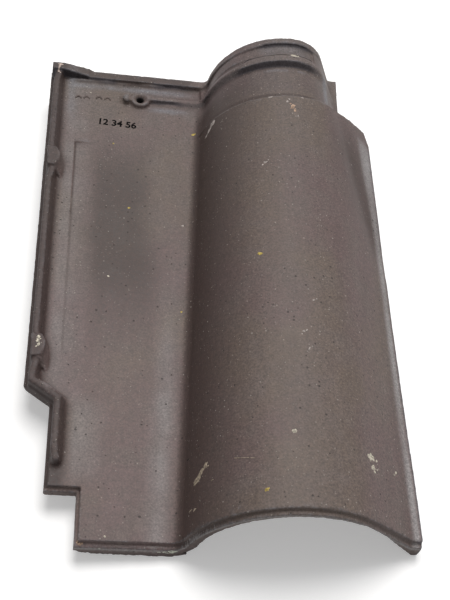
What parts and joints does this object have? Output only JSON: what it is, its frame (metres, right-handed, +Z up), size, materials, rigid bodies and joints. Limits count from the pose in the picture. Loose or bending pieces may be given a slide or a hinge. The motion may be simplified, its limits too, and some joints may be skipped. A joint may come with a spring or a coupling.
{
  "type": "clay roof tile",
  "caption": "Interlocking clay roof tile with a flat pan and one tapering roll, head and side locks, a nail boss and batten lugs.",
  "frame": {"origin": "centre of the bounding box, on the floor that the tile lies on", "axes": "+Z up from the floor, +Y from the tail up to the head, +X across from the side lock rib to the roll's cover flange"},
  "size_m": [0.2814, 0.4512, 0.0835],
  "materials": {
    "engobed_clay": "matt brown-grey engobe over fired clay"
  },
  "bodies": {
    "root": {"roof_tile": "engobed_clay"}
  },
  "joints": []
}
